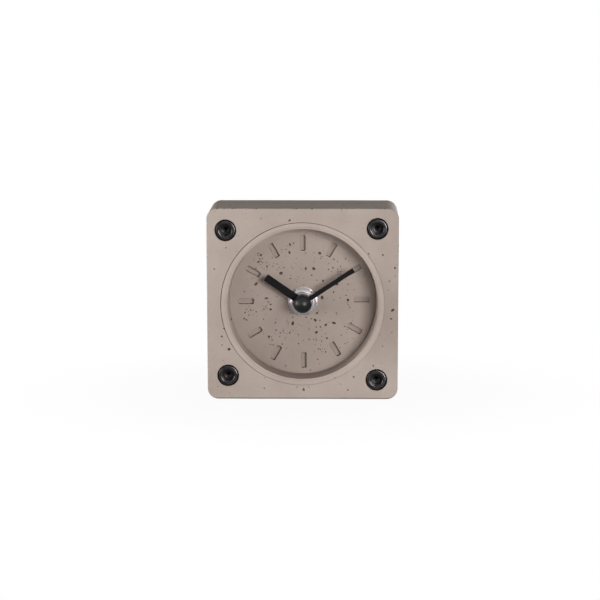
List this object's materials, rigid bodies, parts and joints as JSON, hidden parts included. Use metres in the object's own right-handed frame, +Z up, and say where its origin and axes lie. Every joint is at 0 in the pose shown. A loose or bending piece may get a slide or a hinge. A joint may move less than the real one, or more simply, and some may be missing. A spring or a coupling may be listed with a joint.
{
  "type": "table clock",
  "caption": "Square cast concrete table clock with a sunken round dial, bar hands, corner socket screws and a quartz movement with its gear train behind a rear cover.",
  "frame": {"origin": "middle of the base, on the surface the clock stands on, half way between the block's front and back faces", "axes": "+Z up, the dial looks along -Y, +X to the right as seen from the front"},
  "size_m": [0.08, 0.0428, 0.08],
  "materials": {
    "concrete": "cast, fine pores, unsealed",
    "cover_black": "fine grain",
    "screw_black": "black oxide",
    "plated_steel": "bright plated",
    "rubber_black": "matt",
    "movement_black": "moulded, fine grain",
    "brass": "machined",
    "cell_sleeve": "plain printed sleeve, no print",
    "contact_steel": "nickel plated strip",
    "board_green": "solder mask",
    "chip_black": "epoxy",
    "iron": "annealed strip",
    "bobbin_white": "moulded",
    "copper": "enamelled wire",
    "gear_white": "moulded acetal",
    "magnet": "sintered",
    "hand_black": "satin black",
    "cap_black": "satin gloss",
    "knob_black": "fluted, moulded"
  },
  "bodies": {
    "case": {"casing": "concrete", "rear_cover": "cover_black", "clamp_screws": "screw_black", "clamp_nuts": "screw_black", "dial_washer": "plated_steel", "bush_nut": "plated_steel", "gasket": "rubber_black", "threaded_bush": "plated_steel", "movement_front_shell": "movement_black", "movement_rear_shell": "movement_black", "battery": "cell_sleeve", "contact_positive": "contact_steel", "contact_negative": "contact_steel", "circuit_board": "board_green", "chip": "chip_black", "crystal": "plated_steel", "stator": "iron", "coil_core": "iron", "coil_bobbin": "bobbin_white", "coil_winding": "copper", "coil_pins": "contact_steel"},
    "minute_work": {"minute_hand": "hand_black", "ball_cap": "cap_black", "minute_arbor": "brass", "friction_spring": "contact_steel"},
    "hour_work": {"hour_hand": "hand_black", "hour_wheel": "gear_white"},
    "transfer": {"transfer_wheel": "gear_white"},
    "setting": {"setting_arbor": "gear_white", "setting_knob": "knob_black"},
    "rotor": {"rotor_pinion": "gear_white", "rotor_magnet": "magnet"},
    "fifth": {"fifth_wheel": "gear_white"},
    "fourth": {"fourth_wheel": "gear_white"},
    "third": {"third_wheel": "gear_white"},
    "centre": {"centre_wheel": "gear_white"}
  },
  "joints": [
    {"name": "minute_hand_turn", "type": "hinge", "parent": "case", "child": "minute_work", "pos_m": [0, 0, 0.04], "axis": [0, 1, 0], "continuous": true},
    {"name": "hour_hand_turn", "type": "hinge", "parent": "case", "child": "hour_work", "pos_m": [0, 0, 0.04], "axis": [0, 1, 0], "continuous": true},
    {"name": "transfer_wheel_turn", "type": "hinge", "parent": "case", "child": "transfer", "pos_m": [-0.00727, 0, 0.0442], "axis": [0, 1, 0], "continuous": true},
    {"name": "setting_knob_turn", "type": "hinge", "parent": "case", "child": "setting", "pos_m": [-0.00727, 0, 0.0526], "axis": [0, 1, 0], "continuous": true},
    {"name": "rotor_turn", "type": "hinge", "parent": "case", "child": "rotor", "pos_m": [0.01736, 0, 0.04727], "axis": [0, 1, 0], "continuous": true},
    {"name": "fifth_wheel_turn", "type": "hinge", "parent": "case", "child": "fifth", "pos_m": [0.01269, 0, 0.04997], "axis": [0, 1, 0], "continuous": true},
    {"name": "fourth_wheel_turn", "type": "hinge", "parent": "case", "child": "fourth", "pos_m": [0.00717, 0, 0.05094], "axis": [0, 1, 0], "continuous": true},
    {"name": "third_wheel_turn", "type": "hinge", "parent": "case", "child": "third", "pos_m": [0.00717, 0, 0.04414], "axis": [0, 1, 0], "continuous": true},
    {"name": "centre_wheel_turn", "type": "hinge", "parent": "case", "child": "centre", "pos_m": [0, 0, 0.04], "axis": [0, 1, 0], "continuous": true}
  ],
  "couplings": [
    {"joint": "hour_hand_turn", "follows": "minute_hand_turn", "ratio": 0.083333},
    {"joint": "transfer_wheel_turn", "follows": "minute_hand_turn", "ratio": -0.33333},
    {"joint": "setting_knob_turn", "follows": "minute_hand_turn", "ratio": 1},
    {"joint": "fifth_wheel_turn", "follows": "rotor_turn", "ratio": -0.2},
    {"joint": "fourth_wheel_turn", "follows": "rotor_turn", "ratio": 0.033333},
    {"joint": "third_wheel_turn", "follows": "rotor_turn", "ratio": -0.0044444},
    {"joint": "centre_wheel_turn", "follows": "rotor_turn", "ratio": 0.00055556}
  ]
}
